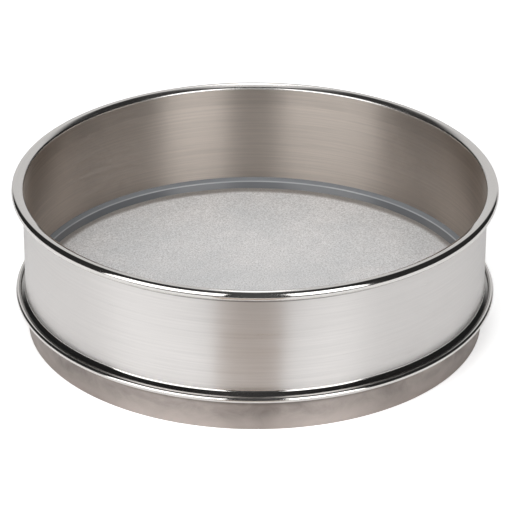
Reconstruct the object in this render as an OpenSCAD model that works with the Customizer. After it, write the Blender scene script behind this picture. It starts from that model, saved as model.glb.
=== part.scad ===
// Laboratory test sieve, 200 mm class, full height.
// Two spun sheet-metal rings are seamed round a disc of woven wire cloth, and a cast
// ring seals the cloth to the frame. All sizes are in millimetres, +Z is up, and the
// origin is the middle of the bottom edge of the skirt.

/* [Frame] */
// Inside diameter of the mouth, which takes the skirt of the sieve above
mouth_d = 200.4; // [75:0.1:300]
// Thickness of the sheet that both rings are spun from
sheet_t = 0.6; // [0.4:0.05:0.7]
// Depth from the top of the rim down to the cloth
cloth_depth = 50.95; // [25:0.05:100]

/* [Rolled rim] */
// Width of the rolled rim, from the mouth out to its widest
rim_w = 5.3; // [5:0.1:8]
// Outside radius of the bend from the wall into the rim
rim_shoulder_r = 1.3; // [1:0.05:1.6]
// Slope of the rim's land, which rises from that bend to the curl
rim_slope = 27; // [10:1:35]
// Outside radius of the curl that closes the rim
rim_curl_r = 2.25; // [1.4:0.05:2.4]
// Gap between the sheared end of the curl and the wall
rim_end_gap = 0.15; // [0.1:0.05:0.6]

/* [Seam] */
// Reach of the seam, from the mouth's radius out to its widest
seam_reach = 4.8; // [4.6:0.1:7]
// Outside radius of the hem that wraps the seam
hem_r = 1.35; // [1.2:0.05:1.6]
// Gap between the end of the hem's lip and the flare it is pressed down on
hem_lip_gap = 0.05; // [0.03:0.01:0.15]
// Radius in the corner between the wall and the flare
flare_bend_r = 1.2; // [0.6:0.05:1.5]
// Slope of the flare below the level
flare_slope = 37; // [30:1:42]

/* [Skirt] */
// Height from the bottom edge up to the underside of the seam
skirt_h = 14.75; // [8:0.05:30]
// Radial clearance of the skirt in the mouth of the sieve below
nest_clear = 0.3; // [0.1:0.05:0.5]
// Radius in the corner between the skirt and its flange
skirt_bend_r = 1.5; // [0.8:0.1:2]
// Bearing of the skirt's butt weld, round from the front
weld_az = 1; // [-180:1:180]
// Width of the nick that the weld leaves in the bottom edge
nick_w = 0.9; // [0.3:0.1:1.5]
// Height of that nick
nick_h = 0.25; // [0.1:0.05:0.5]

/* [Wire cloth] */
// Thickness of the cloth where it is clamped
cloth_t = 0.25; // [0.1:0.01:0.4]
// Spacing of the raised wires, drawn coarser than the weave
wire_pitch = 2; // [1.5:0.1:10]
// Diameter of a raised wire
wire_d = 0.24; // [0.1:0.01:0.4]
// Plain edge between the seal and the ends of the wires
wire_margin = 0.4; // [0.1:0.1:3]
// Space left between the edge of the cloth and the inside of the hem
cloth_clear = 0.05; // [0.05:0.05:0.5]

/* [Seal] */
// Height of the seal above the cloth, where it meets the wall
seal_h = 3.95; // [3.2:0.05:4.2]
// Height of the seal's nose above the cloth
nose_h = 2.65; // [1.5:0.05:2.8]
// Inset of the nose from the wall
nose_in = 1.2; // [0.9:0.05:1.6]
// Inset of the seal's foot on the cloth from the wall
foot_in = 1.7; // [1.7:0.05:5]
// Radius of the rounded nose
nose_r = 0.4; // [0.1:0.05:0.5]
// Skin of air between the cast seal and the sheet over it
seal_gap = 0.03; // [0.01:0.01:0.1]

/* [Hidden] */
$fn = 192;

// radii
mouth_r = mouth_d / 2;
wall_mid_r = mouth_r + sheet_t / 2;
skirt_r = mouth_r - nest_clear;
skirt_mid_r = skirt_r - sheet_t / 2;
seam_r = mouth_r + seam_reach;
hem_mid_r = hem_r - sheet_t / 2;
hem_cr = seam_r - hem_r;

// levels
seam_z = skirt_h;
cloth_z0 = seam_z + sheet_t;
cloth_z1 = cloth_z0 + cloth_t;
rim_z = cloth_z1 + cloth_depth;

// cloth: its edge lies inside the hem's curl
cloth_r = hem_cr - cloth_clear;

// flare: a straight cone from the wall's bend down to the edge that holds the cloth
flare_edge_gap = 0.03;
flare_bite = 0.05;
flare_turn = 90 - flare_slope;
flare_mid_r = flare_bend_r + sheet_t / 2;
flare_end_r = cloth_r - flare_bite + sheet_t / 2 * sin(flare_slope);
flare_end_z = cloth_z1 + flare_edge_gap + sheet_t / 2 * cos(flare_slope);
flare_run = (flare_end_r - wall_mid_r - flare_mid_r * (1 - cos(flare_turn))) / cos(flare_slope);
wall_z0 = flare_end_z + flare_run * sin(flare_slope) + flare_mid_r * sin(flare_turn);
flare_cr = mouth_r + sheet_t + flare_bend_r;

// rim
rim_bend_mid_r = rim_shoulder_r - sheet_t / 2;
rim_curl_mid_r = rim_curl_r - sheet_t / 2;
rim_turn = 90 - rim_slope;
rim_land_w = rim_w - sheet_t - rim_bend_mid_r * (1 - cos(rim_turn)) - rim_curl_mid_r * (1 + sin(rim_slope));
rim_land = rim_land_w / cos(rim_slope);
rim_rise = rim_bend_mid_r * sin(rim_turn) + rim_land * sin(rim_slope) + rim_curl_mid_r * (1 - cos(rim_slope));
rim_return = rim_w - rim_curl_r - 1.5 * sheet_t - rim_end_gap;
wall_h = rim_z - sheet_t / 2 - rim_rise - wall_z0;

// skirt
skirt_mid_bend = skirt_bend_r + sheet_t / 2;
skirt_wall_h = seam_z + sheet_t / 2 - skirt_mid_bend;

// hem: its lip runs in until its rounded end is one gap above the flare
lip_z = seam_z + sheet_t / 2 + 2 * hem_mid_r;
lip_over_flare = (lip_z - flare_end_z) * cos(flare_slope) - sheet_t - hem_lip_gap;
hem_lip = hem_cr - flare_end_r + lip_over_flare / sin(flare_slope);

// seal, and the field of wires inside it
foot_r = mouth_r - foot_in;
wire_field_r = foot_r - wire_margin;
seal_out_r = flare_end_r - sheet_t;

module steel_bright() { color([0.80, 0.79, 0.78]) children(); }
module steel_dull() { color([0.66, 0.63, 0.61]) children(); }

// The half of a square of the given reach that lies ahead of the Y axis, or behind it.
module half_plane(reach, ahead) {
    translate([ahead ? 0 : -reach, -reach]) {
        square([reach, 2 * reach]);
    }
}

// One bend of sheet: a sector of a ring that starts at the origin heading along +X
// and turns to the left, or to the right where turn is negative. Its last edge is cut
// in the turned frame, so that it meets the next move exactly.
module sheet_bend(r, turn) {
    reach = r + sheet_t;
    translate([0, sign(turn) * r]) {
        intersection() {
            difference() {
                circle(r = r + sheet_t / 2);
                circle(r = r - sheet_t / 2);
            }
            if (abs(turn) > 180) {
                union() {
                    half_plane(reach, true);
                    rotate(turn) half_plane(reach, false);
                }
            } else {
                intersection() {
                    half_plane(reach, true);
                    rotate(turn) half_plane(reach, false);
                }
            }
        }
    }
}

// Runs a strip of sheet through a list of moves, from the origin and heading along +X.
// ["go", length] is a straight, ["turn", mid radius, angle] is a bend (left is positive)
// and ["end"] rounds the sheared edge off.
module sheet_run(moves, i = 0) {
    if (i < len(moves)) {
        move = moves[i];
        if (move[0] == "go") {
            translate([0, -sheet_t / 2]) {
                square([move[1], sheet_t]);
            }
            translate([move[1], 0]) {
                sheet_run(moves, i + 1);
            }
        }
        if (move[0] == "turn") {
            sheet_bend(move[1], move[2]);
            translate([0, sign(move[2]) * move[1]]) {
                rotate(move[2]) {
                    translate([0, -sign(move[2]) * move[1]]) {
                        sheet_run(moves, i + 1);
                    }
                }
            }
        }
        if (move[0] == "end") {
            intersection() {
                circle(d = sheet_t);
                translate([0, -sheet_t]) {
                    square([sheet_t, 2 * sheet_t]);
                }
            }
        }
    }
}

// Flare, wall and rolled rim, run from the edge in the seam up to the end of the curl.
module upper_frame() {
    steel_bright() {
        rotate_extrude() {
            translate([flare_end_r, flare_end_z]) {
                rotate(180 - flare_slope) {
                    sheet_run([
                        ["go", flare_run],
                        ["turn", flare_mid_r, -flare_turn],
                        ["go", wall_h],
                        ["turn", rim_bend_mid_r, -rim_turn],
                        ["go", rim_land],
                        ["turn", rim_curl_mid_r, -180 - rim_slope],
                        ["go", rim_return],
                        ["end"]
                    ]);
                }
            }
        }
    }
}

// Skirt and its flange, which curls up and over the edges of the cloth and the flare.
module skirt() {
    steel_dull() {
        difference() {
            rotate_extrude() {
                translate([skirt_mid_r, 0]) {
                    rotate(90) {
                        sheet_run([
                            ["go", skirt_wall_h],
                            ["turn", skirt_mid_bend, -90],
                            ["go", hem_cr - skirt_mid_r - skirt_mid_bend],
                            ["turn", hem_mid_r, 180],
                            ["go", hem_lip],
                            ["end"]
                        ]);
                    }
                }
            }
            weld_nick();
        }
    }
}

// Small V in the bottom edge where the skirt's butt weld ends.
module weld_nick() {
    rotate(weld_az) {
        translate([0, -skirt_mid_r - sheet_t, 0]) {
            rotate([-90, 0, 0]) {
                linear_extrude(2 * sheet_t) {
                    polygon([[-nick_w / 2, 0], [0, -nick_h], [nick_w / 2, 0]]);
                }
            }
        }
    }
}

// Corner of a section rounded with a true arc: a and c are the corner's neighbours.
function unit(v) = v / norm(v);
function corner_half(a, b, c) = acos(unit(a - b) * unit(c - b)) / 2;
function corner_cut(a, b, c, r) = let (s = r / tan(corner_half(a, b, c)))
    [b + s * unit(a - b), b + s * unit(c - b)];
function corner_mid(a, b, c, r) = b + r / sin(corner_half(a, b, c)) * unit(unit(a - b) + unit(c - b));

// Ring of sealant cast on the cloth, against the wall and under the flare.
module sealing_ring() {
    top = [mouth_r - seal_gap, cloth_z1 + seal_h];
    nose = [mouth_r - nose_in, cloth_z1 + nose_h];
    foot = [foot_r, cloth_z1];
    under = sheet_t / 2 + seal_gap;
    color([0.47, 0.48, 0.50]) {
        rotate_extrude() {
            difference() {
                union() {
                    polygon(concat(
                        [top],
                        corner_cut(top, nose, foot, nose_r),
                        [foot, [seal_out_r, cloth_z1], [seal_out_r, top[1]]]
                    ));
                    translate(corner_mid(top, nose, foot, nose_r)) {
                        circle(r = nose_r);
                    }
                }
                // the wall, down to where it starts to bend
                translate([mouth_r - seal_gap, wall_z0]) {
                    square([seam_reach, seal_h]);
                }
                // the bend
                translate([flare_cr, wall_z0]) {
                    circle(r = flare_bend_r + sheet_t + seal_gap);
                }
                // the cone
                translate([flare_end_r, flare_end_z]) {
                    rotate(180 - flare_slope) {
                        translate([0, -seam_reach]) {
                            square([flare_run, seam_reach + under]);
                        }
                    }
                }
            }
        }
    }
}

// Half-round wires, side by side, on one face of the cloth.
module wire_row() {
    n = floor(wire_field_r / wire_pitch);
    for (k = [-n:n]) {
        x = k * wire_pitch;
        half = sqrt(wire_field_r * wire_field_r - x * x);
        translate([x, half, 0]) {
            rotate([90, 0, 0]) {
                linear_extrude(2 * half) {
                    intersection() {
                        circle(d = wire_d, $fn = 24);
                        translate([-wire_d, 0]) {
                            square([2 * wire_d, wire_d]);
                        }
                    }
                }
            }
        }
    }
}

// The woven cloth as one wall: warp wires stand up on top, weft wires below.
module wire_cloth() {
    color([0.78, 0.77, 0.75]) {
        translate([0, 0, cloth_z0]) {
            cylinder(r = cloth_r, h = cloth_t);
        }
        translate([0, 0, cloth_z1]) {
            wire_row();
        }
        translate([0, 0, cloth_z0]) {
            rotate([180, 0, 90]) {
                wire_row();
            }
        }
    }
}

upper_frame();
skirt();
sealing_ring();
wire_cloth();
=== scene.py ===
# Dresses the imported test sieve: spun sheet rings, cast seal and woven cloth, with their
# finishes, on a plain pale stage. Laid out as an add-on and run as a script.
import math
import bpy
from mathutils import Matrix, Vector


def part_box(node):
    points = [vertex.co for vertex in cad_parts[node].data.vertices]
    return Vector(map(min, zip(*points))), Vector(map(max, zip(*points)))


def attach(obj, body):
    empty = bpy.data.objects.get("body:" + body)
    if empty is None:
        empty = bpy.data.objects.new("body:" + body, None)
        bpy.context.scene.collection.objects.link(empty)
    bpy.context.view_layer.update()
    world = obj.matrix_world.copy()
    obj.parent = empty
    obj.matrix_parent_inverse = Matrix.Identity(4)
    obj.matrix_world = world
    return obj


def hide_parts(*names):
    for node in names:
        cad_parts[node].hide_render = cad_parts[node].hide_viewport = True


bl_info = {
    "name": "Test sieve",
    "version": (1, 0, 0),
    "blender": (4, 5, 0),
    "location": "3D View > Sidebar > Sieve",
    "description": "Models the rings, seal and cloth of a test sieve over its frame",
    "category": "Mesh",
}

import bmesh
import bpy
from bpy.props import FloatProperty, FloatVectorProperty, IntProperty, PointerProperty
from bpy.types import Operator, Panel, PropertyGroup
from mathutils import Matrix, Vector

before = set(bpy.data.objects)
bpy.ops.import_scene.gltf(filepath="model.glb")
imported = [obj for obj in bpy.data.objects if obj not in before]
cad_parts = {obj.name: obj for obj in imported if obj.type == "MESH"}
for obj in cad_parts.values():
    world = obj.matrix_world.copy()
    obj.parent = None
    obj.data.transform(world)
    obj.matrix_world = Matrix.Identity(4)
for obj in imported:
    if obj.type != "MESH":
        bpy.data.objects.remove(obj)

MM = 0.001
RIM_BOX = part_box("upper_frame")
HEM_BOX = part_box("skirt")
SEAL_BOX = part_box("sealing_ring")
CLOTH_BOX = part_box("wire_cloth")


def from_frame(metres):
    """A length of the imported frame, rounded to a hundredth of a millimetre."""
    return round(metres, 5)


def hex_colour(code):
    """An sRGB hex value as the linear colour that a shader takes."""
    parts = [int(code[i : i + 2], 16) / 255 for i in (0, 2, 4)]
    return tuple(
        p / 12.92 if p <= 0.04045 else ((p + 0.055) / 1.055) ** 2.4 for p in parts
    ) + (1.0,)


def length(name, text, default):
    return FloatProperty(
        name=name, description=text, default=default, unit="LENGTH",
        subtype="DISTANCE", precision=5,
    )


def angle(name, text, degrees):
    return FloatProperty(
        name=name, description=text, default=math.radians(degrees), unit="ROTATION",
        subtype="ANGLE",
    )


def colour(name, text, code):
    return FloatVectorProperty(
        name=name, description=text, default=hex_colour(code), size=4, min=0, max=1,
        subtype="COLOR",
    )


# ---------------------------------------------------------------- settings


class SieveSizes(PropertyGroup):
    """Sizes of the real piece, read from the frame where it has them."""

    sheet_t: length("Sheet thickness", "Thickness of both spun rings", 0.6 * MM)
    mouth_r: length("Mouth radius", "Inside radius of the wall", 100.2 * MM)
    rim_r: length(
        "Rim radius", "Outside radius of the rolled rim", from_frame(RIM_BOX[1].x)
    )
    rim_z: length("Rim height", "Top of the rolled rim", from_frame(RIM_BOX[1].z))
    rim_shoulder_r: length(
        "Rim shoulder", "Outside radius of the rim's first bend", 1.3 * MM
    )
    rim_curl_r: length("Rim curl", "Outside radius of the rim's curl", 2.25 * MM)
    rim_end_gap: length("Rim end gap", "Gap from the curl's end to the wall", 0.15 * MM)
    rim_slope: angle("Rim slope", "Slope of the rim's land", 27)
    flare_slope: angle("Flare slope", "Slope of the flare under the wall", 37)
    flare_bend_r: length(
        "Flare bend", "Radius in the corner of wall and flare", 1.2 * MM
    )
    hem_r: length("Hem curl", "Outside radius of the hem's curl", 1.35 * MM)
    seam_r: length(
        "Seam radius", "Outside radius of the seam", from_frame(HEM_BOX[1].x)
    )
    seam_z: length("Seam height", "Underside of the skirt's flange", 14.75 * MM)
    skirt_r: length("Skirt radius", "Outside radius of the skirt", 99.9 * MM)
    skirt_bend_r: length(
        "Skirt bend", "Radius in the corner of skirt and flange", 1.5 * MM
    )
    cloth_z: length("Cloth height", "Top face of the cloth", from_frame(SEAL_BOX[0].z))
    cloth_r: length(
        "Cloth radius", "Radius that the cloth is cut to", from_frame(CLOTH_BOX[1].x)
    )
    cloth_t: length("Cloth thickness", "Thickness over the wires", 0.25 * MM)
    cloth_sag: length("Cloth sag", "Sag in the middle of the cloth", 0.2 * MM)
    seal_z: length(
        "Seal height", "Top of the seal on the wall", from_frame(SEAL_BOX[1].z)
    )
    nose_in: length("Seal nose inset", "Inset of the nose from the wall", 2.0 * MM)
    nose_h: length("Seal nose height", "Height of the nose over the cloth", 2.65 * MM)
    foot_in: length("Seal foot inset", "Inset of the foot from the wall", 3.1 * MM)
    nick_w: length("Weld nick width", "Width of the nick at the butt weld", 0.9 * MM)
    nick_h: length("Weld nick height", "Height of that nick", 0.25 * MM)
    weld_az: angle("Weld bearing", "Bearing of the butt weld from the front", 1)
    rub_z: length("Rub line", "Lowest line that nested sieves rub inside", 57 * MM)
    # painted shade: height of the dark line on the outer wall under the rim
    rim_shade_z: length("Corner line", "Dark line outside, under the rim", 60.2 * MM)
    turns: IntProperty(
        name="Facets round", description="Steps round each spun ring", default=360,
        min=90,
    )


class SieveFinishes(PropertyGroup):
    """Colours of the finishes."""

    outside: colour("Outer wall", "Brushed stainless steel outside the wall", "E5E2E0")
    inside: colour("Inner wall", "Worn stainless steel inside the wall", "D5CBC2")
    bright: colour("Bright steel", "Polished stainless steel, rim and seam", "E6E3E0")
    skirt: colour("Skirt steel", "Dull stainless steel of the skirt", "AAA19C")
    seal: colour("Sealant", "Cast grey sealant", "7E8185")
    cloth: colour("Wire", "Stainless wire of the cloth", "F0EFEE")
    floor: colour("Floor", "Painted floor", "FAFAFA")
    # a stand-in sheet hidden from the camera: the steel mirrors it as painted dark from
    # the camera's side
    card: colour("Card", "Card under the lens, seen in the steel alone", "BEADA0")


# ---------------------------------------------------------------- modelling

NEAR = 0.002 * MM  # how far a vertex may lie from the point that picks it
MERGE = 0.001 * MM  # vertices closer than this are one
CREASE = math.radians(35)  # a sharper edge is left unsmoothed
AIR = 0.03 * MM  # left between pieces that the real one bonds together
EDGE_GAP = 0.05 * MM  # left beside the edges of sheet and cloth in the seam
SHEAR_ROUND = 0.98  # the share of the half thickness that rounds a sheared end


def deselect_everything():
    """Puts Blender in object mode with nothing selected."""
    if bpy.context.object and bpy.context.object.mode != "OBJECT":
        bpy.ops.object.mode_set(mode="OBJECT")
    bpy.ops.object.select_all(action="DESELECT")


def rename(obj, name):
    obj.name = name
    obj.data.name = name
    return obj


def select_near(obj, points):
    """Selects the vertices in edit mode that lie at points of the XZ plane."""
    spots = [Vector((p.x, 0, p.y)) for p in points]
    mesh = bmesh.from_edit_mesh(obj.data)
    bpy.ops.mesh.select_all(action="DESELECT")
    bpy.ops.mesh.select_mode(type="VERT")
    for v in mesh.verts:
        v.select_set(any((v.co - spot).length < NEAR for spot in spots))
    mesh.select_flush_mode()
    bmesh.update_edit_mesh(obj.data)


def spin_outline(turns):
    """Drops the face of an outline in edit mode and spins its edge round the Z axis."""
    bpy.ops.mesh.select_all(action="SELECT")
    bpy.ops.mesh.delete(type="ONLY_FACE")
    bpy.ops.mesh.select_all(action="SELECT")
    bpy.ops.mesh.spin(
        steps=turns, dupli=False, angle=2 * math.pi, use_auto_merge=True,
        center=(0, 0, 0), axis=(0, 0, 1),
    )
    bpy.ops.mesh.select_all(action="SELECT")
    bpy.ops.mesh.remove_doubles(threshold=MERGE)
    bpy.ops.mesh.normals_make_consistent(inside=False)
    bpy.ops.object.mode_set(mode="OBJECT")


class Strip:
    """A strip of sheet bent in the XZ plane, drawn edge-on as a row of faces."""

    def __init__(self, name, start, heading, thickness):
        self.t = thickness
        self.at = Vector(start)
        self.heading = heading
        self.first_corners = [self.corner(side) for side in (-1, 1)]
        deselect_everything()
        middle = self.at + self.direction() * thickness / 2
        bpy.ops.mesh.primitive_plane_add(
            size=thickness, location=(middle.x, 0, middle.y),
            rotation=(math.pi / 2, -heading, 0),
        )
        self.obj = rename(bpy.context.object, name)
        bpy.ops.object.transform_apply(location=True, rotation=True, scale=True)
        bpy.ops.object.mode_set(mode="EDIT")
        self.at += self.direction() * thickness

    def direction(self):
        return Vector((math.cos(self.heading), math.sin(self.heading)))

    def across(self):
        return Vector((-math.sin(self.heading), math.cos(self.heading)))

    def corner(self, side):
        """The end's corner on the left for side 1, and on the right for side -1."""
        return self.at + self.across() * side * self.t / 2

    def pick_end(self):
        """Selects the edge that the strip grows from."""
        select_near(self.obj, (self.corner(1), self.corner(-1)))

    def go(self, distance):
        """Grows straight ahead."""
        step = self.direction() * distance
        self.pick_end()
        bpy.ops.mesh.extrude_region_move(
            TRANSFORM_OT_translate={"value": (step.x, 0, step.y)}
        )
        self.at += step
        return self

    def turn(self, radius, angle, steps):
        """Bends about a point beside the strip, to the left where angle is positive."""
        side = math.copysign(1, angle)
        centre = self.at + self.across() * side * radius
        self.pick_end()
        bpy.ops.mesh.spin(
            steps=steps, dupli=False, angle=angle,
            center=(centre.x, 0, centre.y), axis=(0, 1, 0),
        )
        self.heading += angle
        self.at = centre - self.across() * side * radius
        return self

    def soften(self, points, offset, segments):
        """Rounds corners of the outline, given as points in the plane."""
        select_near(self.obj, points)
        bpy.ops.mesh.bevel(offset=offset, segments=segments, affect="VERTICES")

    def round_end(self):
        """Rounds the sheared end, all but to a half circle."""
        ends = (self.corner(1), self.corner(-1))
        self.soften(ends, self.t / 2 * SHEAR_ROUND, segments=6)

    def lathe(self, turns):
        """Keeps the outline of the row of faces and spins it into a closed ring."""
        mesh = bmesh.from_edit_mesh(self.obj.data)
        bpy.ops.mesh.select_mode(type="EDGE")
        bpy.ops.mesh.select_all(action="DESELECT")
        for e in mesh.edges:
            e.select_set(not e.is_boundary)
        bmesh.update_edit_mesh(self.obj.data)
        bpy.ops.mesh.dissolve_edges(use_verts=False)
        spin_outline(turns)
        return self.obj


def seam_edge(s):
    """Radius and height, at mid sheet, of the flare's edge in the seam."""
    return (
        s.cloth_r - EDGE_GAP + s.sheet_t / 2 * math.sin(s.flare_slope),
        s.cloth_z + AIR + s.sheet_t / 2 * math.cos(s.flare_slope),
    )


def give(obj, materials, choose):
    """Puts materials on an object: choose(centre, normal) says which a face takes."""
    obj.data.materials.clear()
    for m in materials:
        obj.data.materials.append(m)
    for face in obj.data.polygons:
        face.material_index = materials.index(choose(face.center, face.normal))


def finish_piece(obj, node):
    """Shades a piece, seats it on the frame and lets it stand for its node."""
    deselect_everything()
    obj.select_set(True)
    bpy.context.view_layer.objects.active = obj
    bpy.ops.object.shade_smooth_by_angle(angle=CREASE)
    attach(obj, "root")
    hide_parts(node)


# ---------------------------------------------------------------- materials

SMOOTH = {"interpolation_type": "SMOOTHSTEP"}
COLOURS = {"data_type": "RGBA"}
WHITE = (1, 1, 1, 1)


def new_material(name):
    """A new material, its node tree and its shader."""
    material = bpy.data.materials.new(name)
    material.use_nodes = True
    tree = material.node_tree
    return material, tree, tree.nodes["Principled BSDF"]


def feed(tree, node, inputs):
    """Sets a node's inputs to values, or links them to sockets."""
    for name, value in inputs.items():
        if isinstance(value, bpy.types.NodeSocket):
            tree.links.new(value, node.inputs[name])
        else:
            node.inputs[name].default_value = value


def add(tree, kind, settings, inputs):
    """Adds a node with its settings and inputs, and gives back its outputs."""
    node = tree.nodes.new(kind)
    for name, value in settings.items():
        setattr(node, name, value)
    feed(tree, node, inputs)
    return node.outputs


def piece_coordinates(tree):
    """The point on the piece, and its three coordinates, in metres."""
    point = add(tree, "ShaderNodeTexCoord", {}, {})["Object"]
    return point, add(tree, "ShaderNodeSeparateXYZ", {}, {"Vector": point})


def round_coordinates(tree, around, up):
    """The point, scaled for marks that a lathe leaves: they change slowly round the
    piece and fast with height. The scales are marks per metre."""
    point = add(tree, "ShaderNodeTexCoord", {}, {})["Object"]
    return add(
        tree, "ShaderNodeMapping", {}, {"Vector": point, "Scale": (around, around, up)}
    )["Vector"]


def brush_round(tree, shader, anisotropy):
    """Lays the grain of the brushing round the Z axis: a light drawn in it is
    stretched up and down and stays narrow from side to side."""
    grain = add(
        tree, "ShaderNodeTangent", {"direction_type": "RADIAL", "axis": "Z"}, {}
    )
    feed(tree, shader, {
        "Anisotropic": anisotropy, "Anisotropic Rotation": 0.25,
        "Tangent": grain["Tangent"],
    })


def shade(base, factor):
    """The same colour, darker or lighter."""
    return tuple(min(1, factor * c) for c in base[:3]) + (1,)


def spun_steel(
    name, base, roughness, anisotropy, depth, contrast, waver, rub_z=0, rim_shade_z=0
):
    """Stainless sheet spun on a lathe and brushed round: fine rings run round it, by
    turns darker and brighter, and sharper and softer in what they mirror."""
    material, tree, shader = new_material(name)
    point, axes = piece_coordinates(tree)
    # rings 0.9 mm apart and finer, broken up every 45 mm round the wall
    rings = add(tree, "ShaderNodeTexNoise", {}, {
        "Vector": round_coordinates(tree, 22, 1100), "Scale": 1.0, "Detail": 4.0,
        "Roughness": 0.6,
    })["Fac"]
    finish = add(tree, "ShaderNodeMix", COLOURS, {
        "Factor": rings, "A": shade(base, 1 - contrast), "B": shade(base, 1 + contrast),
    })["Result"]
    if rim_shade_z:
        # painted shade: a dark line in the corner under the rolled rim
        rim_shade = add(tree, "ShaderNodeMapRange", SMOOTH, {
            "Value": axes["Z"], "From Min": rim_shade_z - 0.35 * MM,
            "From Max": rim_shade_z + 0.15 * MM, "To Max": 0.85,
        })["Result"]
        finish = add(tree, "ShaderNodeMix", COLOURS, {
            "Factor": rim_shade, "A": finish, "B": shade(base, 0.2),
        })["Result"]
    if rub_z:
        # duller from a line up to the rim, in smudges 18 mm across, where the sieves
        # nested in it rub
        above = add(tree, "ShaderNodeMapRange", SMOOTH, {
            "Value": axes["Z"], "From Min": rub_z - 0.4 * MM,
            "From Max": rub_z + 0.4 * MM, "To Max": 0.32,
        })["Result"]
        smudge = add(tree, "ShaderNodeTexNoise", {}, {
            "Vector": point, "Scale": 55, "Detail": 4.0,
        })["Fac"]
        worn = add(tree, "ShaderNodeMath", {"operation": "MULTIPLY"}, {
            0: above, 1: smudge,
        })[0]
        finish = add(tree, "ShaderNodeMix", COLOURS, {
            "Factor": worn, "A": finish, "B": shade(base, 0.45),
        })["Result"]
    streaks = add(tree, "ShaderNodeMapRange", {}, {
        "Value": rings, "From Min": 0.25, "From Max": 0.75,
        "To Min": roughness - waver, "To Max": roughness + waver,
    })["Result"]
    bump = add(tree, "ShaderNodeBump", {}, {
        "Strength": 0.25, "Distance": depth, "Height": rings,
    })["Normal"]
    brush_round(tree, shader, anisotropy)
    feed(tree, shader, {
        "Base Color": finish, "Metallic": 1.0, "Roughness": streaks, "Normal": bump,
    })
    return material


def bright_steel(name, base, least, most):
    """The same sheet polished where it is rolled: a near mirror, rubbed dull in places
    between two roughnesses."""
    material, tree, shader = new_material(name)
    # smears 25 mm long and 1.1 mm high
    smear = add(tree, "ShaderNodeTexNoise", {}, {
        "Vector": round_coordinates(tree, 40, 900), "Scale": 1.0, "Detail": 3.0,
    })["Fac"]
    dull = add(tree, "ShaderNodeMapRange", {}, {
        "Value": smear, "From Min": 0.35, "From Max": 0.75, "To Min": least,
        "To Max": most,
    })["Result"]
    feed(tree, shader, {"Base Color": base, "Metallic": 1.0, "Roughness": dull})
    return material


def dull_steel(name, base):
    """Satin stainless sheet of the skirt: stained unevenly by washing and handling,
    darkened with painted shade under the flange, and lightened towards the bottom
    edge with a painted reflection of the floor."""
    material, tree, shader = new_material(name)
    axes = piece_coordinates(tree)[1]
    # stains 14 mm long and 8 mm high
    stain = add(tree, "ShaderNodeTexNoise", {}, {
        "Vector": round_coordinates(tree, 70, 120), "Scale": 1.0, "Detail": 6.0,
        "Roughness": 0.65, "Distortion": 0.6,
    })["Fac"]
    spread = add(tree, "ShaderNodeMapRange", {}, {
        "Value": stain, "From Min": 0.3, "From Max": 0.7,
    })["Result"]
    stained = add(tree, "ShaderNodeMix", COLOURS, {
        "Factor": spread, "A": shade(base, 0.78), "B": shade(base, 1.2),
    })["Result"]
    # painted reflection: lighter towards the bottom edge, where the steel mirrors the
    # bright floor close by
    floor_reflection = add(tree, "ShaderNodeMapRange", SMOOTH, {
        "Value": axes["Z"], "From Min": 1 * MM, "From Max": 9 * MM, "To Min": 0.75,
        "To Max": 0.0,
    })["Result"]
    painted_highlight = add(tree, "ShaderNodeMix", COLOURS, {
        "Factor": floor_reflection, "A": stained, "B": shade(base, 1.45),
    })["Result"]
    # painted shade: darker under the hem and flange
    hem_shade = add(tree, "ShaderNodeMapRange", SMOOTH, {
        "Value": axes["Z"], "From Min": 10.8 * MM, "From Max": 12.6 * MM,
        "To Max": 0.65,
    })["Result"]
    with_hem_shade = add(tree, "ShaderNodeMix", COLOURS, {
        "Factor": hem_shade, "A": painted_highlight, "B": shade(base, 0.35),
    })["Result"]
    sheen = add(tree, "ShaderNodeMapRange", {}, {
        "Value": stain, "From Min": 0.3, "From Max": 0.7, "To Min": 0.42,
        "To Max": 0.3,
    })["Result"]
    brush_round(tree, shader, 0.85)
    feed(tree, shader, {"Base Color": with_hem_shade, "Metallic": 1.0, "Roughness": sheen})
    return material


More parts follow.
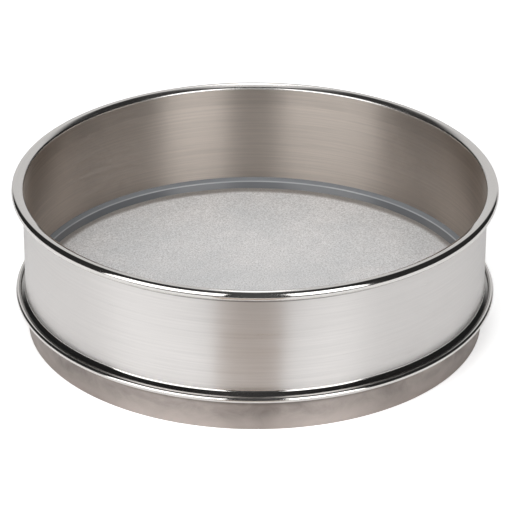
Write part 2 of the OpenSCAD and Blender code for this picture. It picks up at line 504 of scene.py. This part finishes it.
def cast_seal(name, base, nose_z):
    """Grey two-part sealant, poured and smoothed by hand: a soft sheen over a plain
    colour, darkened under the nose as painted shade, with a painted highlight along it."""
    material, tree, shader = new_material(name)
    point, axes = piece_coordinates(tree)
    over = add(tree, "ShaderNodeMath", {"operation": "SUBTRACT"}, {
        0: axes["Z"], 1: nose_z,
    })[0]
    away = add(tree, "ShaderNodeMath", {"operation": "ABSOLUTE"}, {0: over})[0]
    ridge = add(tree, "ShaderNodeMapRange", SMOOTH, {
        "Value": away, "From Min": 0.08 * MM, "From Max": 0.3 * MM, "To Min": 1.0,
        "To Max": 0.0,
    })["Result"]
    # painted shade: the seal is darker below the nose
    upper = add(tree, "ShaderNodeMapRange", SMOOTH, {
        "Value": over, "From Min": -0.5 * MM, "From Max": -0.1 * MM,
    })["Result"]
    shaded_below_nose = add(tree, "ShaderNodeMix", COLOURS, {
        "Factor": upper, "A": shade(base, 0.66), "B": shade(base, 1.0),
    })["Result"]
    # the painted highlight along the nose comes and goes in stretches 38 mm long
    patch = add(tree, "ShaderNodeTexNoise", {}, {
        "Vector": point, "Scale": 26, "Detail": 3.0,
    })["Fac"]
    painted_highlight = add(tree, "ShaderNodeMath", {"operation": "MULTIPLY"}, {
        0: ridge, 1: patch,
    })[0]
    # painted highlight: pale along the nose
    finish = add(tree, "ShaderNodeMix", COLOURS, {
        "Factor": painted_highlight, "A": shaded_below_nose, "B": hex_colour("C8C9CA"),
    })["Result"]
    # ripples 17 mm long and 2 mm high, left by the finger that smoothed it
    ripple = add(tree, "ShaderNodeTexNoise", {}, {
        "Vector": round_coordinates(tree, 60, 500), "Scale": 1.0, "Detail": 3.0,
    })["Fac"]
    bump = add(tree, "ShaderNodeBump", {}, {
        "Strength": 0.3, "Distance": 0.2 * MM, "Height": ripple,
    })["Normal"]
    feed(tree, shader, {
        "Base Color": finish, "Roughness": 0.22, "IOR": 1.5, "Normal": bump,
    })
    return material


def woven_wire(name, base, foot_r):
    """Plain weave of stainless wire: each wire shines in its own direction, so the
    cloth looks matt and light grey from a step away. Round the edge a brownish band
    of painted shade and painted reflection of the wall darkens it."""
    material, tree, shader = new_material(name)
    point, axes = piece_coordinates(tree)
    # the real weave is about 0.1 mm a wire: drawn as its grain, 0.7 mm across
    grain = add(tree, "ShaderNodeTexNoise", {}, {
        "Vector": point, "Scale": 1500, "Detail": 1.0, "Roughness": 0.7,
    })["Fac"]
    speck = add(tree, "ShaderNodeMapRange", {}, {
        "Value": grain, "From Min": 0.3, "From Max": 0.7,
    })["Result"]
    wire = add(tree, "ShaderNodeMix", COLOURS, {
        "Factor": speck, "A": shade(base, 0.72), "B": shade(base, 1.22),
    })["Result"]
    # the stains of use, 26 mm across
    cloud = add(tree, "ShaderNodeTexNoise", {}, {
        "Vector": point, "Scale": 38, "Detail": 4.0, "Roughness": 0.6,
    })["Fac"]
    patch = add(tree, "ShaderNodeMapRange", {}, {
        "Value": cloud, "From Min": 0.35, "From Max": 0.65,
    })["Result"]
    stain = add(tree, "ShaderNodeMix", COLOURS, {
        "Factor": patch, "A": hex_colour("F3F4F5"), "B": hex_colour("FFFEFE"),
    })["Result"]
    used = add(tree, "ShaderNodeMix", {**COLOURS, "blend_type": "MULTIPLY"}, {
        "Factor": 1.0, "A": wire, "B": stain,
    })["Result"]
    # the edge of that painted band wanders by up to 3 mm, and lies 3.5 mm further in at
    #     the back, where the wall's shade and reflection are widest
    flat = add(tree, "ShaderNodeVectorMath", {"operation": "MULTIPLY"}, {
        0: point, 1: (1, 1, 0),
    })["Vector"]
    radius = add(tree, "ShaderNodeVectorMath", {"operation": "LENGTH"}, {
        0: flat,
    })["Value"]
    wander = add(tree, "ShaderNodeMath", {"operation": "MULTIPLY_ADD"}, {
        0: cloud, 1: 3 * MM, 2: radius,
    })[0]
    wider_at_back = add(tree, "ShaderNodeMath", {"operation": "MULTIPLY_ADD"}, {
        0: axes["Y"], 1: 0.035, 2: wander,
    })[0]
    wall_shade_band = add(tree, "ShaderNodeMapRange", SMOOTH, {
        "Value": wider_at_back, "From Min": foot_r - 1.5 * MM, "From Max": foot_r + 1.5 * MM,
    })["Result"]
    band_share = add(tree, "ShaderNodeMath", {"operation": "MULTIPLY"}, {
        0: wall_shade_band, 1: 0.72,
    })[0]
    # painted shade and reflection: a brownish band round the edge of the cloth
    finish = add(tree, "ShaderNodeMix", COLOURS, {
        "Factor": band_share, "A": used, "B": hex_colour("74695F"),
    })["Result"]
    bump = add(tree, "ShaderNodeBump", {}, {
        "Strength": 0.5, "Distance": 0.2 * MM, "Height": grain,
    })["Normal"]
    feed(tree, shader, {
        "Base Color": finish, "Metallic": 0.2, "Roughness": 0.6, "Normal": bump,
    })
    return material


# ---------------------------------------------------------------- pieces

SHADED_UNDERSIDE = -0.72  # normals below this: the curl's underside, darkened as painted shade
FOOT_ROUND = 0.1 * MM  # rounding of the skirt's bottom edge
NOSE_ROUND = 0.35 * MM  # rounding of the seal's nose
UNDER_FLARE = 0.2 * MM  # how far the seal reaches out under the flare
# the seal's foot, smoothed by hand, is wider in places: by how much, in how many
# waves round, and from which phase; the first wave makes it wider at the back
FOOT_WAVES = ((0.6 * MM, 1, math.pi / 2), (0.16 * MM, 7, 1), (0.1 * MM, 19, 0))
SAG_RINGS = 8  # rings of faces that let the cloth sag
SAG_REACH = 0.9  # the share of the free radius that sags


class SieveUpperFrame(Operator):
    """Bend the frame's sheet from the seam up to the rolled rim, and spin it"""

    bl_idname = "sieve.upper_frame"
    bl_label = "Spin the upper frame"

    def execute(self, context):
        s = context.scene.sieve_sizes
        t = s.sheet_t
        # the flare: from its edge in the seam to the foot of the wall
        slope = s.flare_slope
        flare_turn = math.pi / 2 - slope
        flare_bend = s.flare_bend_r + t / 2
        edge_r, edge_z = seam_edge(s)
        wall_r = s.mouth_r + t / 2
        flare = edge_r - wall_r - flare_bend * (1 - math.cos(flare_turn))
        flare /= math.cos(slope)
        wall_z = edge_z + flare * math.sin(slope) + flare_bend * math.sin(flare_turn)
        # the rim: shoulder, sloping land and curl, as wide as the rim
        land = s.rim_slope
        rim_turn = math.pi / 2 - land
        shoulder, curl = s.rim_shoulder_r - t / 2, s.rim_curl_r - t / 2
        rim_w = s.rim_r - s.mouth_r
        run = rim_w - t - shoulder * (1 - math.cos(rim_turn))
        run -= curl * (1 + math.sin(land))
        run /= math.cos(land)
        rise = shoulder * math.sin(rim_turn) + run * math.sin(land)
        rise += curl * (1 - math.cos(land))
        wall_h = s.rim_z - t / 2 - rise - wall_z
        wall_top = wall_z + wall_h
        lip_r = s.mouth_r + s.rim_shoulder_r * (1 - math.cos(rim_turn))

        strip = Strip("spun_frame", (edge_r, edge_z), math.pi - slope, t)
        strip.go(flare - t).turn(flare_bend, -flare_turn, steps=10).go(wall_h)
        strip.turn(shoulder, -rim_turn, steps=12).go(run)
        strip.turn(curl, -math.pi - land, steps=40)
        strip.go(rim_w - s.rim_curl_r - t - s.rim_end_gap)
        strip.round_end()
        obj = strip.lathe(s.turns)

        f = context.scene.sieve_finishes
        outside = spun_steel(
            "brushed_stainless_outside", f.outside, roughness=0.36, anisotropy=0.7,
            depth=0.01 * MM, contrast=0.14, waver=0.1, rim_shade_z=s.rim_shade_z,
        )
        inside = spun_steel(
            "worn_stainless_inside", f.inside, roughness=0.45, anisotropy=0.96,
            depth=0.02 * MM, contrast=0.3, waver=0.1, rub_z=s.rub_z,
        )
        bright = bright_steel("polished_stainless_rim", f.bright, 0.06, 0.16)
        # the mouth's bend, rubbed by every sieve that is set in it
        lip = bright_steel("rubbed_stainless_lip", f.bright, 0.19, 0.31)
        # the flare and the curl's underside, darkened as painted shade
        shaded_steel = bright_steel(
            "shaded_stainless_flare", shade(f.bright, 0.55), 0.1, 0.22
        )

        def zone(centre, normal):
            r, z = centre.xy.length, centre.z
            if z > wall_top and r < lip_r:
                return lip
            if r < wall_r:
                return inside
            # painted shade on the flare in the seam, and on the curl's underside
            if z < wall_z - flare_bend / 2:
                return shaded_steel
            if z > wall_z + flare_bend and normal.z < SHADED_UNDERSIDE:
                return shaded_steel
            return outside if wall_z < z < wall_top and r < wall_r + t else bright

        give(obj, [outside, inside, bright, lip, shaded_steel], zone)
        finish_piece(obj, "upper_frame")
        return {"FINISHED"}


class SieveSkirt(Operator):
    """Bend the skirt's sheet up into its flange and hem, and spin it"""

    bl_idname = "sieve.skirt"
    bl_label = "Spin the skirt"

    def execute(self, context):
        s = context.scene.sieve_sizes
        t = s.sheet_t
        mid_r = s.skirt_r - t / 2
        bend, curl = s.skirt_bend_r + t / 2, s.hem_r - t / 2
        hem_r = s.seam_r - s.hem_r
        # the hem's lip runs back over the flare until it comes close to its slope
        edge_r, edge_z = seam_edge(s)
        lip_z = s.seam_z + t / 2 + 2 * curl
        lip = (lip_z - edge_z) * math.cos(s.flare_slope) - t - EDGE_GAP
        lip = hem_r - edge_r + lip / math.sin(s.flare_slope)

        strip = Strip("hemmed_skirt", (mid_r, 0), math.pi / 2, t)
        strip.go(s.seam_z + t / 2 - bend - t).turn(bend, -math.pi / 2, steps=12)
        strip.go(hem_r - mid_r - bend).turn(curl, math.pi, steps=28).go(lip + t / 2)
        strip.round_end()
        strip.soften(strip.first_corners, FOOT_ROUND, segments=3)
        obj = strip.lathe(s.turns)
        self.cut_weld_nick(obj, s)

        f = context.scene.sieve_finishes
        skirt = dull_steel("satin_stainless_skirt", f.skirt)
        bright = bright_steel("polished_stainless_hem", f.bright, 0.06, 0.16)
        # the hem's lip, darkened as painted shade like the flare beside it
        shaded_steel = bright_steel(
            "shaded_stainless_lip", shade(f.bright, 0.5), 0.1, 0.22
        )

        def zone(centre, normal):
            r = centre.xy.length
            # painted shade on the hem's lip in the seam
            if r < hem_r and centre.z > s.seam_z + t:
                return shaded_steel
            return bright if r > hem_r else skirt

        give(obj, [skirt, bright, shaded_steel], zone)
        finish_piece(obj, "skirt")
        return {"FINISHED"}

    def cut_weld_nick(self, obj, s):
        """Cuts the small V that the butt weld leaves in the bottom edge."""
        through = 4 * MM
        side, front = math.sin(s.weld_az), -math.cos(s.weld_az)
        deselect_everything()
        bpy.ops.mesh.primitive_cylinder_add(
            vertices=4, radius=1, depth=1, scale=(s.nick_w / 2, s.nick_h, through),
            rotation=(math.pi / 2, 0, s.weld_az),
            location=(s.skirt_r * side, s.skirt_r * front, 0),
        )
        cutter = bpy.context.object
        bpy.context.view_layer.objects.active = obj
        cut = obj.modifiers.new("weld_nick", "BOOLEAN")
        cut.operation = "DIFFERENCE"
        cut.object = cutter
        bpy.ops.object.modifier_apply(modifier=cut.name)
        bpy.data.objects.remove(cutter)


class SieveSealingRing(Operator):
    """Cast the sealing ring in the corner of wall and cloth"""

    bl_idname = "sieve.sealing_ring"
    bl_label = "Cast the sealing ring"

    def execute(self, context):
        s = context.scene.sieve_sizes
        nose_z = s.cloth_z + s.nose_h
        nose = Vector((s.mouth_r - s.nose_in, nose_z))
        foot = Vector((s.mouth_r - s.foot_in, s.cloth_z))
        top = Vector((s.mouth_r - AIR, s.seal_z))
        back = Vector((s.mouth_r + UNDER_FLARE, s.cloth_z))
        deselect_everything()
        bpy.ops.mesh.primitive_plane_add(size=1, rotation=(math.pi / 2, 0, 0))
        obj = rename(bpy.context.object, "cast_seal")
        bpy.ops.object.transform_apply(location=True, rotation=True, scale=True)
        order = sorted(obj.data.vertices, key=lambda v: math.atan2(v.co.z, v.co.x))
        for v, point in zip(order, (foot, back, top, nose)):
            v.co = (point.x, 0, point.y)
        bpy.ops.object.mode_set(mode="EDIT")
        select_near(obj, [nose])
        bpy.ops.mesh.bevel(offset=NOSE_ROUND, segments=6, affect="VERTICES")
        spin_outline(s.turns)
        for v in obj.data.vertices:
            if v.co.z < s.cloth_z + NEAR and v.co.xy.length < s.mouth_r:
                a = math.atan2(v.co.x, v.co.y)
                more = sum(w * math.sin(n * a + start) for w, n, start in FOOT_WAVES)
                v.co.xy *= 1 - more / v.co.xy.length
        finish = context.scene.sieve_finishes.seal
        sealant = cast_seal("cast_grey_sealant", finish, nose_z)
        give(obj, [sealant], lambda centre, normal: sealant)
        finish_piece(obj, "sealing_ring")
        return {"FINISHED"}


class SieveWireCloth(Operator):
    """Lay the disc of woven cloth over the skirt's flange"""

    bl_idname = "sieve.wire_cloth"
    bl_label = "Lay the wire cloth"

    def execute(self, context):
        s = context.scene.sieve_sizes
        deselect_everything()
        bpy.ops.mesh.primitive_circle_add(
            vertices=s.turns, radius=s.cloth_r, fill_type="NGON",
            location=(0, 0, s.cloth_z - s.cloth_t),
        )
        obj = rename(bpy.context.object, "woven_cloth")
        bpy.ops.object.transform_apply(location=True, rotation=True, scale=True)
        bpy.ops.object.mode_set(mode="EDIT")
        bpy.ops.mesh.select_all(action="SELECT")
        bpy.ops.mesh.extrude_region_move(
            TRANSFORM_OT_translate={"value": (0, 0, s.cloth_t)}
        )
        # the free part, inside the seal, is cut into rings that sag to the middle
        foot_r = s.mouth_r - s.foot_in
        bpy.ops.mesh.inset(thickness=s.cloth_r - foot_r)
        for _ in range(SAG_RINGS):
            bpy.ops.mesh.inset(thickness=foot_r / (SAG_RINGS + 1))
        bpy.ops.transform.translate(
            value=(0, 0, -s.cloth_sag), use_proportional_edit=True,
            proportional_edit_falloff="SMOOTH", proportional_size=foot_r * SAG_REACH,
        )
        bpy.ops.mesh.select_all(action="SELECT")
        bpy.ops.mesh.normals_make_consistent(inside=False)
        bpy.ops.object.mode_set(mode="OBJECT")
        finish = context.scene.sieve_finishes.cloth
        cloth = woven_wire("woven_stainless_wire", finish, foot_r)
        give(obj, [cloth], lambda centre, normal: cloth)
        finish_piece(obj, "wire_cloth")
        return {"FINISHED"}


# ---------------------------------------------------------------- stage

# each sheet's near end and far end, as its y and its half width, in metres
FLOOR = ((-0.235, 0.6), (1.5, 0.6))
CARD = ((-0.205, 0.051), (-0.13, 0.02))
CARD_X, CARD_Z = -0.005, 0.5 * MM
FLOOR_GLOW = 0.5  # added to what the camera alone sees of the floor

# upright lamps, from the floor up: name, bearing from the front and half width in
# degrees, radiance
SOFTBOXES = (
    ("softbox_left", -40, 27, 2.12),
    ("softbox_right", 32, 17, 2.45),
)
SOFTBOX_AWAY = 1.2
SOFTBOX_TOP = math.radians(47)  # elevation of the top edge
# lamps overhead: name, place, size, radiance, whether the steel mirrors it
OVERHEAD = (
    ("strip_overhead", (0, 0.72, 1.35), (0.2, 0.6), 1.7, True),
    ("lamp_behind", (-0.1, 0.7, 1.5), (2.2, 1.4), 0.45, False),
    ("lamp_fill", (-0.25, -0.9, 1.5), (1.3, 1.3), 2.8, False),
)

BACKDROP = 0.66  # world strength straight behind, as the steel sees it
BACKDROP_EDGE = (math.radians(29), math.radians(38))  # bearings that it fades between
ROOM = (0.075, 0.024)  # world strength elsewhere: in the middle and to the sides
ROOM_EDGE = (0.05, 0.4)  # how far aside that changes, as a share of the direction

FRAME_PX, FOCAL_PX = 512, 2986.562
CENTRE_PX = (254.865, 254.65)  # where the lens's axis meets the frame
SENSOR_MM = 36
TARGET = Vector((0, 0, 29.93 * MM))
EYE_AWAY = 1.3104
TILT, ROLL = math.radians(27.17), math.radians(0.212)


def level_sheet(name, ends, x, z):
    """A level sheet between two ends, each given as its y and its half width."""
    bpy.ops.mesh.primitive_plane_add(size=1, location=(0, 0, 0))
    obj = rename(bpy.context.object, name)
    for v in obj.data.vertices:
        y, half = ends[v.co.y > 0]
        v.co = (math.copysign(half, v.co.x) + x, y, z)
    return obj


def soft_lamp(name, place, outward, size, radiance):
    """A rectangular soft lamp at a place, with its back turned outward."""
    data = bpy.data.lights.new(name, "AREA")
    data.shape = "RECTANGLE"
    data.size, data.size_y = size
    data.energy = radiance * math.pi * data.size * data.size_y
    lamp = bpy.data.objects.new(name, data)
    bpy.context.scene.collection.objects.link(lamp)
    lamp.location = place
    lamp.rotation_euler = Vector(outward).to_track_quat("Z", "Y").to_euler()
    lamp.visible_camera = False
    return lamp


class SieveStage(Operator):
    """Set the floor, lamps, world and camera"""

    bl_idname = "sieve.stage"
    bl_label = "Set the stage"

    def execute(self, context):
        finishes = context.scene.sieve_finishes
        deselect_everything()
        self.lay_floor(finishes.floor)
        self.lay_card(finishes.card)
        self.hang_lamps()
        self.light_world(context.scene)
        self.set_camera(context.scene)
        context.scene.view_settings.view_transform = "Standard"
        return {"FINISHED"}

    def lay_floor(self, base):
        """Matt white paint: it takes the sieve's soft shadow and is white elsewhere."""
        floor = level_sheet("floor", FLOOR, 0, 0)
        material, tree, shader = new_material("matt_white_floor")
        seen = add(tree, "ShaderNodeLightPath", {}, {})["Is Camera Ray"]
        glow = add(tree, "ShaderNodeMath", {"operation": "MULTIPLY"}, {
            0: seen, 1: FLOOR_GLOW,
        })[0]
        feed(tree, shader, {
            "Base Color": base, "Roughness": 0.9, "Emission Color": WHITE,
            "Emission Strength": glow,
        })
        floor.data.materials.append(material)

    def lay_card(self, base):
        """Matt grey card, which the steel shows as the dark of the camera's side."""
        # stand-in sheet: a painted dark reflection in the steel, where there is only
        # shade
        card = level_sheet("lens_card", CARD, CARD_X, CARD_Z)
        material, tree, shader = new_material("grey_card")
        feed(tree, shader, {"Base Color": base, "Roughness": 0.9})
        card.data.materials.append(material)
        card.visible_camera = False
        card.visible_shadow = False

    def hang_lamps(self):
        height = SOFTBOX_AWAY * math.tan(SOFTBOX_TOP)
        for name, bearing, half_width, radiance in SOFTBOXES:
            a = math.radians(bearing)
            side, front = SOFTBOX_AWAY * math.sin(a), -SOFTBOX_AWAY * math.cos(a)
            width = 2 * SOFTBOX_AWAY * math.tan(math.radians(half_width))
            soft_lamp(
                name, (side, front, height / 2), (side, front, 0), (width, height),
                radiance,
            )
        for name, place, size, radiance, mirrored in OVERHEAD:
            lamp = soft_lamp(name, place, place, size, radiance)
            lamp.visible_glossy = mirrored

    def light_world(self, scene):
        """White to the camera. The steel sees a pale backdrop straight behind, and a
        dark room elsewhere, which gives it its dark bands."""
        world = bpy.data.worlds.new("studio")
        scene.world = world
        world.use_nodes = True
        tree = world.node_tree
        direction = add(tree, "ShaderNodeTexCoord", {}, {})["Generated"]
        axes = add(tree, "ShaderNodeSeparateXYZ", {}, {"Vector": direction})
        aside = add(tree, "ShaderNodeMath", {"operation": "ABSOLUTE"}, {
            0: axes["X"],
        })[0]
        bearing = add(tree, "ShaderNodeMath", {"operation": "ARCTAN2"}, {
            0: aside, 1: axes["Y"],
        })[0]
        room = add(tree, "ShaderNodeMapRange", SMOOTH, {
            "Value": aside, "From Min": ROOM_EDGE[0], "From Max": ROOM_EDGE[1],
            "To Min": ROOM[0], "To Max": ROOM[1],
        })["Result"]
        seen_in_steel = add(tree, "ShaderNodeMapRange", SMOOTH, {
            "Value": bearing, "From Min": BACKDROP_EDGE[0],
            "From Max": BACKDROP_EDGE[1], "To Min": BACKDROP, "To Max": room,
        })["Result"]
        by_camera = add(tree, "ShaderNodeLightPath", {}, {})["Is Camera Ray"]
        strength = add(tree, "ShaderNodeMath", {"operation": "MAXIMUM"}, {
            0: seen_in_steel, 1: by_camera,
        })[0]
        feed(tree, tree.nodes["Background"], {"Color": WHITE, "Strength": strength})

    def set_camera(self, scene):
        camera = bpy.data.cameras.new("camera")
        camera.sensor_width = SENSOR_MM
        camera.lens = FOCAL_PX / FRAME_PX * SENSOR_MM
        camera.shift_x = (FRAME_PX / 2 - CENTRE_PX[0]) / FRAME_PX
        camera.shift_y = (CENTRE_PX[1] - FRAME_PX / 2) / FRAME_PX
        camera.clip_end = 50
        eye = bpy.data.objects.new("camera", camera)
        scene.collection.objects.link(eye)
        back = Vector((0, -math.cos(TILT), math.sin(TILT)))
        eye.location = TARGET + back * EYE_AWAY
        look = (TARGET - eye.location).to_track_quat("-Z", "Y").to_matrix()
        eye.rotation_euler = (look @ Matrix.Rotation(ROLL, 3, "Z")).to_euler()
        scene.camera = eye


# ---------------------------------------------------------------- panel

STEPS = (SieveUpperFrame, SieveSkirt, SieveSealingRing, SieveWireCloth, SieveStage)


class SievePanel(Panel):
    """Lists the sizes and finishes of the sieve and the steps that build it"""

    bl_idname = "VIEW3D_PT_sieve"
    bl_label = "Test sieve"
    bl_space_type = "VIEW_3D"
    bl_region_type = "UI"
    bl_category = "Sieve"

    def draw(self, context):
        scene = context.scene
        for settings in (scene.sieve_sizes, scene.sieve_finishes):
            for name in type(settings).__annotations__:
                self.layout.prop(settings, name)
        for step in STEPS:
            self.layout.operator(step.bl_idname)


CLASSES = (SieveSizes, SieveFinishes) + STEPS + (SievePanel,)


def register():
    for c in CLASSES:
        bpy.utils.register_class(c)
    bpy.types.Scene.sieve_sizes = PointerProperty(type=SieveSizes)
    bpy.types.Scene.sieve_finishes = PointerProperty(type=SieveFinishes)


def unregister():
    del bpy.types.Scene.sieve_finishes
    del bpy.types.Scene.sieve_sizes
    for c in reversed(CLASSES):
        bpy.utils.unregister_class(c)


def main():
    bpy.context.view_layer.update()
    register()
    bpy.ops.sieve.upper_frame()
    bpy.ops.sieve.skirt()
    bpy.ops.sieve.sealing_ring()
    bpy.ops.sieve.wire_cloth()
    bpy.ops.sieve.stage()


if __name__ == "__main__":
    main()
